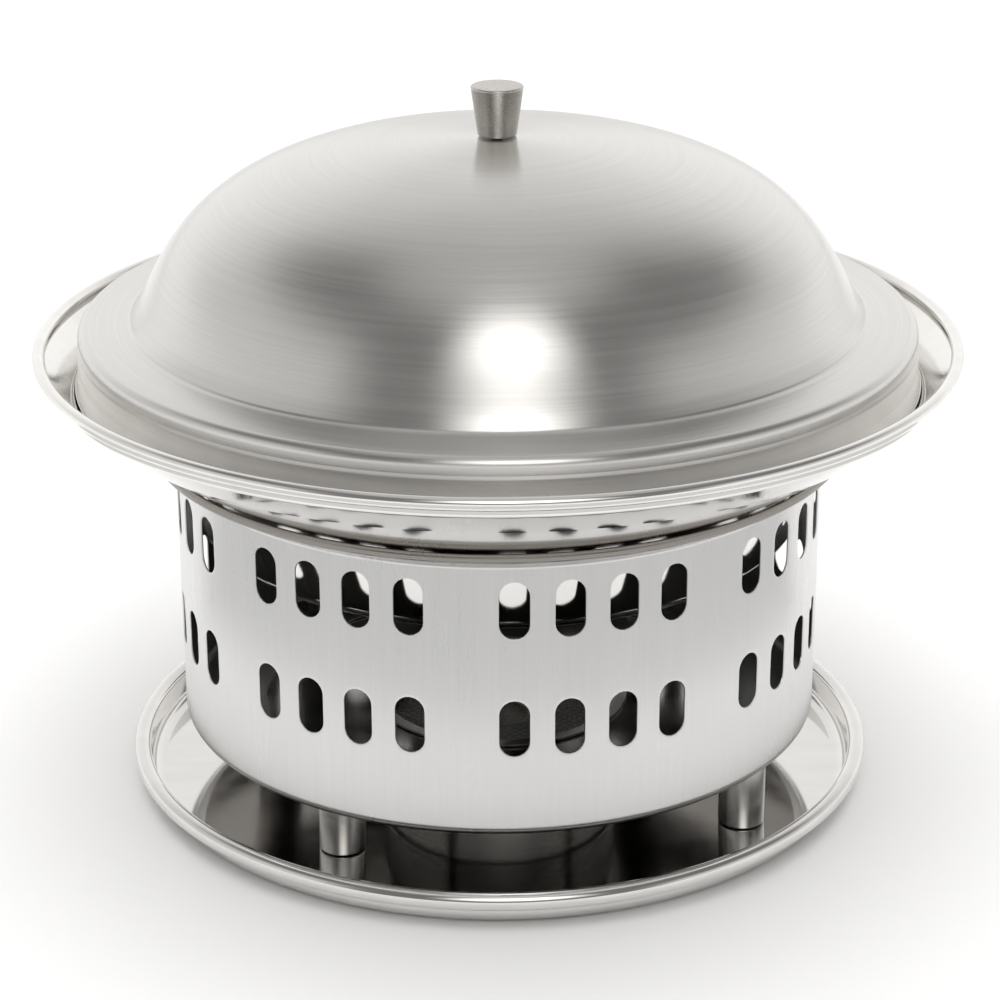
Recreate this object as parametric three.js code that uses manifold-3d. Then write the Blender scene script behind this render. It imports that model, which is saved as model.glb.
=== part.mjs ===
// A table-top burner pot in stainless steel: a lidded pan hangs in a slotted stove drum,
// the drum stands on four turned feet in a drip tray, and a fuel cup hangs in its base.
// Millimetres, +Z up. The origin is the centre of the tray's underside.
// Angles around the axis run from the front (-Y) towards +X.

import * as THREE from 'three';
import { mergeVertices, toCreasedNormals } from 'three/addons/utils/BufferGeometryUtils.js';
import Module from 'manifold-3d';

const wasm = await Module();
wasm.setup();

// ---------------------------------------------------------------- driving dimensions

const restGap = 0.3;            // air left between two pieces that touch

const trayMargin = 17.1;        // how far the tray's rolled rim reaches past the drum's wall
const trayBead = 2.65;          // radius of the rolled rim's section
const trayBeadHeight = 9.0;     // rim section's centre above the underside
const traySheet = 0.6;
const trayCorner = 4.2;         // bend between floor and wall, at mid-sheet

const drumRadius = 98.8;        // outside of the drum's wall
const drumHeight = 91.05;       // from the drum's underside to the top of its lip
const drumSheet = 0.6;
const drumCorner = 4.8;         // bend at the bottom of the wall, at mid-sheet
const drumFlange = 25;          // width of the flange turned in under the wall
const lipFlare = 6.7;           // how far the lip leans out past the wall
const lipHem = 1.3;             // radius of the lip's folded edge

const slotWidth = 8.6;
const slotHeight = 17.2;
const lowerSlots = 34.5;        // lower row's centre above the drum's underside
const upperSlots = 20.25;       // upper row's centre below the top of the lip
const slotGroups = 8;
const slotsPerGroup = 4;
const slotPitch = 9.2;          // degrees between slots of a group
const slotPhase = 16.3;         // degrees from the front to the middle of one group

const plateSheet = 0.8;
const plateInset = 5.1;         // plate's edge inside the drum's wall
const cupPlay = 1.2;            // air between the burner cup and the plate's hole

const footRadius = 7;
const footHeight = 19.2;
const footInsets = [10.7, 19];  // foot's axis inside the drum's wall, for each pair across the drum
const footPhases = [56.6, 143.9]; // degrees from the front to each pair's first foot
const footCount = 4;
const footBevel = 0.5;

const footScrew = { shank: 2, head: 3.6, headHeight: 2.2 };
const footScrewReach = 9;       // how deep the screw goes into the foot
const knobScrew = { shank: 1.5, head: 3, headHeight: 1.9 };
const knobScrewReach = 8;       // how deep the screw goes into the knob
const screwClearance = 0.3;     // air around a screw's shank in every hole
const washerWidth = 2.7;        // from a washer's hole to its edge
const washerThickness = 0.8;

const cupRadius = 36.8;         // outside of the cup's wall
const cupTrayGap = 2.1;         // air between the cup and the tray's floor
const cupSheet = 0.7;
const cupCorner = 3.5;
const cupFlange = 4.2;          // how far the cup's flange reaches past its wall
const padHeight = 9;
const padPlay = 2.3;            // air between the pad and the cup's bore
const gauzeThickness = 0.8;
const gauzeHole = 9;            // opening in the middle of the gauze, for filling and lighting
const ringHeight = 3;
const ringWidth = 2.2;

const panSheet = 1;
const panDepth = 30.55;         // from the lip's top down to the pan's underside
const panBaseInset = 13.2;      // centre of the bend between base and side, inside the drum's wall
const panCorner = 6.5;          // that bend, at mid-sheet
const panNeckClearance = 0.9;   // air between the pan's side and the drum's wall
const panShelf = 22.8;          // how far the shelf reaches past its seat on the lip
const shelfSlope = 33.2;        // degrees above level
const panFlareWidth = 11.1;     // from the shelf's outer end to the rim
const flareSlope = 38.6;        // degrees above level
const panBead = 2;              // radius of the rolled rim's section
const panBeadRise = 3.1;        // rim section's centre above the end of the flare

const lidSheet = 0.8;
const lidSeatOutset = 1.2;      // how far up the flare the skirt's hem sits
const lidSkirtHeight = 17.4;    // from the hem up to the ledge's corner
const lidSkirtLean = 1.2;       // how much the skirt leans in towards its top
const lidLedge = 15.4;          // width of the ledge between skirt and dome
const lidLedgeRise = 1.7;
const lidHem = 0.8;             // radius of the skirt's folded edge
const domeHeight = 52.8;        // from the ledge's inner corner to the crown
const domeSideAngle = 54;       // degrees above level where the dome leaves the ledge
const domeSideReach = 0.18;     // how straight the side runs, as a share of the dome's radius
const domeCrownReach = 0.88;    // how flat the crown runs, as a share of the dome's radius

const knobHeight = 14.8;
const knobBaseRadius = 5.8;
const knobTopRadius = 7.85;
const knobBevel = 0.6;

const steps = 48;               // facets around the large pressings
const cupSteps = 32;            // facets around the burner's pieces
const smallSteps = 16;          // facets around feet, screws and the knob

// ---------------------------------------------------------------- sizes worked out from them

const trayRimRadius = drumRadius + trayMargin;
const trayFloorTop = traySheet;
const footBottom = trayFloorTop + restGap;
const plateBottom = footBottom + footHeight + restGap;
const plateTop = plateBottom + plateSheet;
const drumBottom = plateTop + restGap;
const flangeTop = drumBottom + drumSheet;
const lipTop = drumBottom + drumHeight;
const drumMid = drumRadius - drumSheet / 2;
const lipHemCentre = new THREE.Vector2(drumMid + lipFlare, lipTop - lipHem);
const cupHole = cupRadius + cupPlay;
const cupFlangeBottom = plateTop + restGap;

// ---------------------------------------------------------------- helpers

const radians = THREE.MathUtils.degToRad;
const creaseAngle = radians(30); // edges sharper than this are shaded as edges

// Points of an arc from one angle to another, in degrees, around a centre.
function arc(centreX, centreY, radius, from, to, count) {
  const points = [];
  for (let i = 0; i <= count; i += 1) {
    const angle = radians(from + ((to - from) * i) / count);
    points.push(new THREE.Vector2(centreX + radius * Math.cos(angle), centreY + radius * Math.sin(angle)));
  }
  return points;
}

// The closed outline of a sheet of even thickness that follows a middle line.
function sheetOutline(middle, thickness) {
  const left = [];
  const right = [];
  middle.forEach((point, i) => {
    const before = middle[Math.max(i - 1, 0)];
    const after = middle[Math.min(i + 1, middle.length - 1)];
    const inward = point.clone().sub(before).normalize();
    const outward = after.clone().sub(point).normalize();
    const along = inward.clone().add(outward).normalize();
    const mitre = inward.lengthSq() * outward.lengthSq() > 0 ? along.dot(inward) : 1;
    const side = new THREE.Vector2(-along.y, along.x).multiplyScalar(thickness / 2 / mitre);
    const onAxis = Math.abs(point.x) < 1e-9;
    left.push(new THREE.Vector2(onAxis ? 0 : point.x + side.x, point.y + side.y));
    right.push(new THREE.Vector2(onAxis ? 0 : point.x - side.x, point.y - side.y));
  });
  return [...left, ...right.reverse()];
}

// A body turned from an outline of (radius, height) points. The outline closes on itself.
function turned(outline, segments) {
  const counterClockwise = THREE.ShapeUtils.area(outline) > 0;
  const points = counterClockwise ? [...outline] : [...outline].reverse();
  const start = points.findIndex((point, i) => {
    const next = points[(i + 1) % points.length];
    return point.x < 1e-9 && next.x < 1e-9;
  });
  let profile = [...points, points[0]];
  if (start >= 0) {
    profile = [...points.slice(start + 1), ...points.slice(0, start + 1)];
  }
  return new THREE.LatheGeometry(profile, segments).rotateX(Math.PI / 2);
}

// A closed geometry as a manifold solid, with its shared corners merged.
function solid(geometry) {
  const bare = geometry.clone();
  bare.deleteAttribute('normal');
  bare.deleteAttribute('uv');
  const merged = mergeVertices(bare, 1e-4);
  const index = merged.index.array;
  const triangles = [];
  for (let i = 0; i < index.length; i += 3) {
    const [a, b, c] = [index[i], index[i + 1], index[i + 2]];
    if (a !== b && b !== c && c !== a) {
      triangles.push(a, b, c);
    }
  }
  const mesh = new wasm.Mesh({
    numProp: 3,
    vertProperties: new Float32Array(merged.attributes.position.array),
    triVerts: new Uint32Array(triangles),
  });
  mesh.merge();
  return new wasm.Manifold(mesh);
}

function geometryOf(manifold) {
  const result = manifold.getMesh();
  const geometry = new THREE.BufferGeometry();
  geometry.setAttribute('position', new THREE.BufferAttribute(new Float32Array(result.vertProperties), 3));
  geometry.setIndex(new THREE.BufferAttribute(new Uint32Array(result.triVerts), 1));
  return toCreasedNormals(geometry, creaseAngle);
}

// A sheet pressing with a rolled or folded edge of round section added at a point.
function beadedPressing(middle, thickness, beadCentre, beadRadius, beadFacets) {
  const sheet = solid(turned(sheetOutline(middle, thickness), steps));
  const lastFacet = 360 - 360 / beadFacets;
  const ring = arc(beadCentre.x, beadCentre.y, beadRadius, 0, lastFacet, beadFacets - 1);
  return sheet.add(solid(turned(ring, steps)));
}

// An upright cylinder between two heights.
function cylinder(radius, bottom, top) {
  const geometry = new THREE.CylinderGeometry(radius, radius, top - bottom, smallSteps);
  return geometry.rotateX(Math.PI / 2).translate(0, 0, (bottom + top) / 2);
}

// A flat disc, or a flat ring when its inner radius isn't zero.
function disc(inner, outer, bottom, top, segments) {
  const outline = [
    new THREE.Vector2(inner, bottom),
    new THREE.Vector2(outer, bottom),
    new THREE.Vector2(outer, top),
    new THREE.Vector2(inner, top),
  ];
  return turned(outline, segments);
}

// A place on a circle around the axis, at an angle in degrees from the front.
function onCircle(radius, degrees) {
  const angle = radians(degrees);
  return new THREE.Vector2(radius * Math.sin(angle), -radius * Math.cos(angle));
}

function steel(color, roughness) {
  return new THREE.MeshStandardMaterial({ color, roughness, metalness: 1 });
}

const satinSteel = steel(0xc9c7c2, 0.35);
const polishedSteel = steel(0xd6d5d2, 0.12);
const burnerSteel = steel(0x9b9994, 0.42);
const screwSteel = steel(0xb9b7b3, 0.3);
const gauzeWire = steel(0x8f8d89, 0.45);
const padFibre = new THREE.MeshStandardMaterial({ color: 0xd9d5cc, roughness: 0.95, metalness: 0 });

function named(name, geometry, material) {
  const mesh = new THREE.Mesh(geometry, material);
  mesh.name = name;
  return mesh;
}

// ---------------------------------------------------------------- drip tray

function makeTray() {
  const beadCentre = new THREE.Vector2(trayRimRadius - trayBead, trayBeadHeight);
  const wall = beadCentre.x - trayBead + traySheet;
  const floor = traySheet / 2;
  const middle = [
    new THREE.Vector2(0, floor),
    ...arc(wall - trayCorner, floor + trayCorner, trayCorner, -90, 0, 4),
    new THREE.Vector2(wall, trayBeadHeight),
  ];
  return geometryOf(beadedPressing(middle, traySheet, beadCentre, trayBead, 8));
}

// ---------------------------------------------------------------- stove

// The drum's middle line: turned-in flange, bend, wall and flared lip.
function drumMiddle() {
  const floor = drumBottom + drumSheet / 2;
  return [
    new THREE.Vector2(drumRadius - drumFlange, floor),
    ...arc(drumMid - drumCorner, floor + drumCorner, drumCorner, -90, 0, 4),
    new THREE.Vector2(drumMid, lipHemCentre.y - lipFlare),
    lipHemCentre,
  ];
}

// One slot's cutter: an upright bar with round ends, pointing outwards at an angle.
function slotCutter(height, degrees) {
  const half = slotWidth / 2;
  const straight = slotHeight / 2 - half;
  const shape = new THREE.Shape([
    ...arc(0, straight, half, 0, 180, 3),
    ...arc(0, -straight, half, 180, 360, 3),
  ]);
  const reach = 12;
  const bar = new THREE.ExtrudeGeometry(shape, { depth: reach, bevelEnabled: false });
  bar.rotateX(Math.PI / 2);
  bar.translate(0, reach / 2 - drumRadius, height);
  bar.rotateZ(radians(degrees));
  return bar;
}

function makeDrum() {
  let drum = beadedPressing(drumMiddle(), drumSheet, lipHemCentre, lipHem, 8);
  const firstSlot = slotPhase - (slotPitch * (slotsPerGroup - 1)) / 2;
  for (const row of [drumBottom + lowerSlots, lipTop - upperSlots]) {
    for (let g = 0; g < slotGroups; g += 1) {
      for (let s = 0; s < slotsPerGroup; s += 1) {
        const angle = firstSlot + (360 / slotGroups) * g + slotPitch * s;
        drum = drum.subtract(solid(slotCutter(row, angle)));
      }
    }
  }
  for (let i = 0; i < footCount; i += 1) {
    drum = drum.subtract(footHole(i));
  }
  return geometryOf(drum);
}

// The feet stand in two pairs: feet 1 and 3 face each other across the drum, and so do 2 and 4.
function footPlace(i) {
  const pair = i % 2;
  const turn = i < 2 ? 0 : 180;
  return onCircle(drumRadius - footInsets[pair], footPhases[pair] + turn);
}

// Clears foot screw i through the flange and the plate.
function footHole(i) {
  const place = footPlace(i);
  const hole = cylinder(footScrew.shank + screwClearance, plateBottom - 1, flangeTop + 1);
  return solid(hole.translate(place.x, place.y, 0));
}

function makeBasePlate() {
  let plate = solid(disc(cupHole, drumRadius - plateInset, plateBottom, plateTop, steps));
  for (let i = 0; i < footCount; i += 1) {
    plate = plate.subtract(footHole(i));
  }
  return geometryOf(plate);
}

// Feet, washers and screws are turned about their own axes and placed by their meshes.
// A foot stands on height 0 of its own frame.
function makeFoot() {
  const outline = [
    new THREE.Vector2(0, 0),
    new THREE.Vector2(footRadius - footBevel, 0),
    new THREE.Vector2(footRadius, footBevel),
    new THREE.Vector2(footRadius, footHeight),
    new THREE.Vector2(0, footHeight),
  ];
  const tapped = cylinder(footScrew.shank + screwClearance, footHeight - footScrewReach - 1, footHeight + 1);
  return geometryOf(solid(turned(outline, smallSteps)).subtract(solid(tapped)));
}

function makeWasher(screw) {
  const hole = screw.shank + screwClearance;
  return disc(hole, hole + washerWidth, 0, washerThickness, smallSteps);
}

// A pan-head screw whose head's underside is at height 0 and whose shank reaches down.
function makeScrew(screw, shankLength) {
  const outline = [
    new THREE.Vector2(0, -shankLength),
    new THREE.Vector2(screw.shank, -shankLength),
    new THREE.Vector2(screw.shank, 0),
    new THREE.Vector2(screw.head, 0),
    new THREE.Vector2(screw.head * 0.9, screw.headHeight * 0.6),
    new THREE.Vector2(screw.head * 0.5, screw.headHeight),
    new THREE.Vector2(0, screw.headHeight),
  ];
  return turned(outline, smallSteps);
}

// ---------------------------------------------------------------- burner

const cupMid = cupRadius - cupSheet / 2;
const cupFloor = trayFloorTop + cupTrayGap;
const padBottom = cupFloor + cupSheet + restGap;
const gauzeBottom = padBottom + padHeight + restGap;
const ringBottom = gauzeBottom + gauzeThickness + restGap;
const cupBore = cupRadius - cupSheet - restGap;
const padRadius = cupBore - padPlay;

function makeBurnerCup() {
  const flange = cupFlangeBottom + cupSheet / 2;
  const floor = cupFloor + cupSheet / 2;
  const middle = [
    new THREE.Vector2(0, floor),
    ...arc(cupMid - cupCorner, floor + cupCorner, cupCorner, -90, 0, 3),
    new THREE.Vector2(cupMid, flange),
    new THREE.Vector2(cupMid + cupFlange, flange),
  ];
  return turned(sheetOutline(middle, cupSheet), cupSteps);
}


// ---------------------------------------------------------------- pan

// The side of the pan is worked out from its seat, where the shelf lies on the drum's lip.
const shelfDirection = new THREE.Vector2(Math.cos(radians(shelfSlope)), Math.sin(radians(shelfSlope)));
const shelfNormal = new THREE.Vector2(-shelfDirection.y, shelfDirection.x);
const seat = lipHemCentre.clone().addScaledVector(shelfNormal, lipHem + restGap + panSheet / 2);
const shelfEnd = seat.clone().addScaledVector(shelfDirection, panShelf / shelfDirection.x);
const flareRise = panFlareWidth * Math.tan(radians(flareSlope));
const flareEnd = new THREE.Vector2(shelfEnd.x + panFlareWidth, shelfEnd.y + flareRise);
const panBeadCentre = new THREE.Vector2(flareEnd.x, flareEnd.y + panBeadRise);
const panFloor = lipTop - panDepth + panSheet / 2;
const panNeck = drumRadius - drumSheet - panNeckClearance - panSheet / 2;

function makePan() {
  const neckHeight = seat.y + ((panNeck - seat.x) / shelfDirection.x) * shelfDirection.y;
  const middle = [
    new THREE.Vector2(0, panFloor),
    ...arc(drumRadius - panBaseInset, panFloor + panCorner, panCorner, -90, -15, 4),
    new THREE.Vector2(panNeck - 0.6, neckHeight - 2.5),
    new THREE.Vector2(panNeck + 0.9, neckHeight + 0.4),
    shelfEnd,
    flareEnd,
    panBeadCentre,
  ];
  return geometryOf(beadedPressing(middle, panSheet, panBeadCentre, panBead, 8));
}

// ---------------------------------------------------------------- lid

// The skirt's hem rests on the inner face of the flare, just above the shelf's end.
const flareDirection = new THREE.Vector2(Math.cos(radians(flareSlope)), Math.sin(radians(flareSlope)));
const flareNormal = new THREE.Vector2(-flareDirection.y, flareDirection.x);
const lidSeat = shelfEnd
  .clone()
  .addScaledVector(flareDirection, lidSeatOutset)
  .addScaledVector(flareNormal, panSheet / 2 + restGap + lidHem);
const ledgeCorner = new THREE.Vector2(lidSeat.x - lidSkirtLean, lidSeat.y + lidSkirtHeight);
const domeCorner = new THREE.Vector2(ledgeCorner.x - lidLedge, ledgeCorner.y + lidLedgeRise);
const crown = domeCorner.y + domeHeight;
const knobBottom = crown + lidSheet / 2 + restGap;

// The dome's middle line leaves the ledge at an angle and arrives level at the crown.
function domeCurve() {
  const side = radians(domeSideAngle);
  const sideReach = domeCorner.x * domeSideReach;
  return new THREE.CubicBezierCurve(
    domeCorner,
    new THREE.Vector2(domeCorner.x - sideReach * Math.cos(side), domeCorner.y + sideReach * Math.sin(side)),
    new THREE.Vector2(domeCorner.x * domeCrownReach, crown),
    new THREE.Vector2(0, crown),
  );
}

function makeLid() {
  const middle = [lidSeat, ledgeCorner, ...domeCurve().getSpacedPoints(10)];
  const lid = beadedPressing(middle, lidSheet, lidSeat, lidHem, 8);
  const hole = cylinder(knobScrew.shank + screwClearance, crown - 4, crown + 4);
  return geometryOf(lid.subtract(solid(hole)));
}

// The knob stands on height 0 of its own frame.
function makeKnob() {
  const outline = [
    new THREE.Vector2(0, 0),
    new THREE.Vector2(knobBaseRadius, 0),
    new THREE.Vector2(knobTopRadius, knobHeight - knobBevel),
    new THREE.Vector2(knobTopRadius - knobBevel, knobHeight),
    new THREE.Vector2(0, knobHeight),
  ];
  const tapped = cylinder(knobScrew.shank + screwClearance, -1, knobScrewReach + 1);
  return geometryOf(solid(turned(outline, 2 * smallSteps)).subtract(solid(tapped)));
}

// ---------------------------------------------------------------- assembly

const trayGroup = new THREE.Group();
trayGroup.add(named('drip_tray', makeTray(), polishedSteel));

const stoveGroup = new THREE.Group();
stoveGroup.add(named('stove_drum', makeDrum(), satinSteel));
stoveGroup.add(named('stove_base_plate', makeBasePlate(), polishedSteel));
const footTop = footBottom + footHeight;
const footWasherBottom = flangeTop + restGap;
const footScrewSeat = footWasherBottom + washerThickness + restGap;
const footShank = footScrewSeat - footTop + footScrewReach;
for (let i = 0; i < footCount; i += 1) {
  const place = footPlace(i);
  const foot = named(`foot_${i + 1}`, makeFoot(), polishedSteel);
  foot.position.set(place.x, place.y, footBottom);
  const washer = named(`foot_washer_${i + 1}`, makeWasher(footScrew), screwSteel);
  washer.position.set(place.x, place.y, footWasherBottom);
  const screw = named(`foot_screw_${i + 1}`, makeScrew(footScrew, footShank), screwSteel);
  screw.position.set(place.x, place.y, footScrewSeat);
  stoveGroup.add(foot, washer, screw);
}

const burnerGroup = new THREE.Group();
burnerGroup.add(named('burner_cup', makeBurnerCup(), burnerSteel));
const pad = disc(0, padRadius, padBottom, padBottom + padHeight, cupSteps);
burnerGroup.add(named('burner_wick_pad', pad, padFibre));
const gauze = disc(gauzeHole, padRadius, gauzeBottom, gauzeBottom + gauzeThickness, cupSteps);
burnerGroup.add(named('burner_gauze', gauze, gauzeWire));
const ring = disc(cupBore - ringWidth, cupBore, ringBottom, ringBottom + ringHeight, cupSteps);
burnerGroup.add(named('burner_ring', ring, screwSteel));

const panGroup = new THREE.Group();
panGroup.add(named('pan', makePan(), polishedSteel));

// The knob's screw comes up through the lid, with its head and washer under the crown.
const lidGroup = new THREE.Group();
const crownUnderside = crown - lidSheet / 2;
const knobWasherTop = crownUnderside - restGap;
const knobScrewSeat = knobWasherTop - washerThickness - restGap;
const knob = named('lid_knob', makeKnob(), satinSteel);
knob.position.z = knobBottom;
const knobWasher = named('lid_knob_washer', makeWasher(knobScrew), screwSteel);
knobWasher.position.z = knobWasherTop - washerThickness;
const knobShank = knobBottom + knobScrewReach - knobScrewSeat;
const screwUnderKnob = named('lid_knob_screw', makeScrew(knobScrew, knobShank), screwSteel);
screwUnderKnob.rotation.x = Math.PI;
screwUnderKnob.position.z = knobScrewSeat;
lidGroup.add(named('lid', makeLid(), satinSteel), knob, knobWasher, screwUnderKnob);

stoveGroup.add(burnerGroup, panGroup);
panGroup.add(lidGroup);
trayGroup.add(stoveGroup);

const group = new THREE.Group();
group.add(trayGroup);

export default group;
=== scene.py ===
"""Table-top burner pot: detailed steel pressings, feet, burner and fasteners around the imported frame.

Every piece is built in metres in the frame's own coordinates: the origin is the centre of the
drip tray's underside, +Z is up, and angles around the pot run from the front (-Y) towards +X.
"""

from math import atan2, cos, hypot, pi, radians, sin, sqrt

import bmesh
import bpy
from mathutils import Matrix, Vector


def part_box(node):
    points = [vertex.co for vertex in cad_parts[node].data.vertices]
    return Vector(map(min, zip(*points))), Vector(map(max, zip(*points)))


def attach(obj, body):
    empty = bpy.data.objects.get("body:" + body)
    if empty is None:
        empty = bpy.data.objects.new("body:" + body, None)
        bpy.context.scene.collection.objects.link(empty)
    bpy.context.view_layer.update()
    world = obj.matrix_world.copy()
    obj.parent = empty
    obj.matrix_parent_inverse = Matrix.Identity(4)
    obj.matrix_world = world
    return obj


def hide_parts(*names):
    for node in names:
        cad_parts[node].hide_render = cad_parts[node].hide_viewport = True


bl_info = {
    "name": "Table-top burner pot",
    "version": (1, 0, 0),
    "blender": (4, 5, 0),
    "location": "View3D > Sidebar > Burner Pot",
    "description": "Builds a lidded pan on a slotted stove with feet, burner cup and drip tray",
    "category": "Add Mesh",
}

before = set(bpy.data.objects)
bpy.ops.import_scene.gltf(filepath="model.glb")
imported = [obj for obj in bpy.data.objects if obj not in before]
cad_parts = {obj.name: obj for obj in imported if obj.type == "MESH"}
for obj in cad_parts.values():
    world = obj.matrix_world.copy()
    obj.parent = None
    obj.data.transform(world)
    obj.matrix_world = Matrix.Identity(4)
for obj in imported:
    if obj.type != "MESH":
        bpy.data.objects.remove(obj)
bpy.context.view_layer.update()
MM = 0.001


# ---------------------------------------------------------------- sizes read from the frame


def low(node):
    """The lowest corner of a frame node."""
    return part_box(node)[0]


def high(node):
    """The highest corner of a frame node."""
    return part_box(node)[1]


def centre(node):
    """The middle of a frame node's box."""
    lowest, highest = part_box(node)
    return (lowest + highest) / 2


def outer_radius(node):
    """Half the width of a round node along X."""
    return (high(node).x - low(node).x) / 2


def extent(node):
    """A round node's lowest height, its highest, and its radius."""
    return low(node).z, high(node).z, outer_radius(node)


# ---------------------------------------------------------------- settings


def length(name, text, value, most=0.3):
    """A length property in metres."""
    return bpy.props.FloatProperty(
        name=name, description=text, default=value, min=0.0, max=most, precision=5,
        subtype="DISTANCE", unit="LENGTH",
    )


def share(name, text, value):
    """A property from 0 to 1."""
    return bpy.props.FloatProperty(name=name, description=text, default=value, min=0.0, max=1.0)


def colour(name, text, value):
    """A colour property."""
    return bpy.props.FloatVectorProperty(
        name=name, description=text, default=value, min=0.0, max=1.0, size=3, subtype="COLOR",
    )


def brightness(name, text, value):
    """A light's strength."""
    return bpy.props.FloatProperty(name=name, description=text, default=value, min=0.0)


def angle(name, text, degrees):
    """An angle property, given in degrees."""
    return bpy.props.FloatProperty(
        name=name, description=text, default=radians(degrees), subtype="ANGLE", unit="ROTATION",
    )


class PotSteel(bpy.types.PropertyGroup):
    """Colours and finishes of the stainless steel."""

    lid_colour: colour("Lid steel", "Warm satin steel of the lid", (0.7, 0.69, 0.673))
    pan_colour: colour("Pan steel", "Polished steel of the pan", (0.89, 0.878, 0.858))
    drum_colour: colour("Drum steel", "Satin steel of the stove drum", (0.735, 0.731, 0.724))
    # The base plate's steel is darkened as painted shade, for the shade inside the drum.
    plate_shade_colour: colour("Plate steel", "Shade-darkened steel of the base plate", (0.3, 0.29, 0.28))
    tray_colour: colour("Tray steel", "Polished steel of the drip tray", (0.77, 0.76, 0.745))
    foot_colour: colour("Foot steel", "Turned steel of the feet", (0.6, 0.59, 0.57))
    knob_colour: colour("Knob steel", "Bead-blasted steel of the knob", (0.56, 0.54, 0.51))
    burner_colour: colour("Burner steel", "Dull steel of the fuel cup", (0.5, 0.49, 0.475))
    fastener_colour: colour("Fastener steel", "Steel of screws and washers", (0.62, 0.615, 0.6))
    fibre_colour: colour("Wick fibre", "Mineral fibre of the wick pad", (0.62, 0.6, 0.55))
    lid_roughness: share("Lid roughness", "How satin the lid is", 0.24)
    drum_roughness: share("Drum roughness", "How satin the drum is", 0.3)
    polish_roughness: share("Polish roughness", "How soft the polished steel's mirror is", 0.06)


class PotSizes(bpy.types.PropertyGroup):
    """Sizes of the pressings that the frame's boxes don't give."""

    sheet: length("Stove sheet", "Thickness of the drum's sheet", 0.6 * MM, 0.005)
    tray_sheet: length("Tray sheet", "Thickness of the tray's sheet", 0.6 * MM, 0.005)
    pan_sheet: length("Pan sheet", "Thickness of the pan's sheet", 1.0 * MM, 0.005)
    lid_sheet: length("Lid sheet", "Thickness of the lid's sheet", 0.8 * MM, 0.005)
    cup_sheet: length("Cup sheet", "Thickness of the fuel cup's sheet", 0.7 * MM, 0.005)
    slot_width: length("Slot width", "Width of a vent slot", 8.6 * MM, 0.05)
    slot_height: length("Slot height", "Height of a vent slot", 17.2 * MM, 0.05)
    slot_pitch: angle("Slot pitch", "Angle between the slots of a group", 9.2)
    slot_phase: angle("Slot phase", "Angle from the front to the middle of a group", 16.3)
    lower_slots: length("Lower slots", "Lower row's centre above the drum's underside", 34.5 * MM)
    upper_slots: length("Upper slots", "Upper row's centre below the drum's lip", 20.25 * MM)


class PotStage(bpy.types.PropertyGroup):
    """Camera, lights and floor."""

    camera_distance: length("Camera distance", "Camera's distance in front of the axis", 0.8318, 5.0)
    camera_height: length("Camera height", "Camera's height above the tray's underside", 0.4155, 5.0)
    camera_pitch: angle("Camera pitch", "Camera's turn up from looking straight down", 68.4224)
    camera_yaw: angle("Camera yaw", "Camera's turn about the vertical", -0.03)
    camera_roll: angle("Camera roll", "Camera's turn about its own view", -0.198)
    lens: bpy.props.FloatProperty(
        name="Lens", description="Focal length", default=103.915, unit="CAMERA",
    )
    floor_colour: colour("Floor", "Pale floor", (0.9, 0.9, 0.9))
    apron_colour: colour("Apron", "Grey sheet on the floor around the front", (0.55, 0.55, 0.55))
    low_light: brightness("Low light", "Brightness of the surround at the horizon", 1.05)
    high_light: brightness("High light", "Brightness of the surround overhead", 0.52)
    wall_light: brightness("Wall light", "Brightness of the dark walls in front and at the sides", 0.2)
    window_light: brightness("Window light", "Brightness of the window in front", 2.8)
    floor_power: brightness("Floor fill", "Power of the light that fills the floor, in watts", 100.0)


# ---------------------------------------------------------------- mesh helpers


def path(*places):
    """Points of a section, each given as (radius, height)."""
    return [Vector(place) for place in places]


def arc(x, z, radius, start, end, count):
    """Points of an arc in a section, from one angle to another in degrees."""
    turns = [radians(start + (end - start) * i / count) for i in range(count + 1)]
    return [Vector((x + radius * cos(t), z + radius * sin(t))) for t in turns]


def filleted(points, radii, count=6):
    """A section line whose inner corners are rounded. radii gives each inner corner's radius."""
    line = [Vector(points[0])]
    for i, radius in enumerate(radii, start=1):
        before, corner, after = (Vector(points[i + k]) for k in (-1, 0, 1))
        back = (before - corner).normalized()
        ahead = (after - corner).normalized()
        half = back.angle(ahead) / 2
        if radius <= 0 or half > pi / 2 - 1e-3:
            line.append(corner)
            continue
        cut = min(radius / abs(sin(half) / cos(half)), (before - corner).length * 0.49,
                  (after - corner).length * 0.49)
        radius = cut * sin(half) / cos(half)
        middle = corner + (back + ahead).normalized() * (radius / sin(half))
        start = corner + back * cut - middle
        end = corner + ahead * cut - middle
        sweep = start.angle_signed(end)
        for k in range(count + 1):
            turn = -sweep * k / count
            line.append(middle + Vector((
                start.x * cos(turn) - start.y * sin(turn),
                start.x * sin(turn) + start.y * cos(turn),
            )))
    line.append(Vector(points[-1]))
    return line


def sheet_section(middle, thickness):
    """Both faces of a sheet that follows a middle line: (left face, right face)."""
    left, right = [], []
    for i, point in enumerate(middle):
        before = middle[max(i - 1, 0)]
        after = middle[min(i + 1, len(middle) - 1)]
        into = (point - before).normalized() if i else (after - point).normalized()
        out = (after - point).normalized() if i < len(middle) - 1 else into
        along = (into + out).normalized()
        reach = thickness / 2 / max(along.dot(into), 0.5)
        side = Vector((-along.y, along.x)) * reach
        on_axis = point.x < 1e-7
        for face, step in ((left, side), (right, -side)):
            place = point + step
            face.append(Vector((0.0 if on_axis else place.x, place.y)))
    return left, right


def linked(name, data):
    """A new object in the scene."""
    item = bpy.data.objects.new(name, data)
    bpy.context.scene.collection.objects.link(item)
    return item


def add_piece(name, mesh, body, nodes, material):
    """Links a mesh as a piece that rides on a body and stands for frame nodes."""
    piece = linked(name, mesh)
    piece.data.materials.append(material)
    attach(piece, body)
    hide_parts(*nodes)
    return piece


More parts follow.
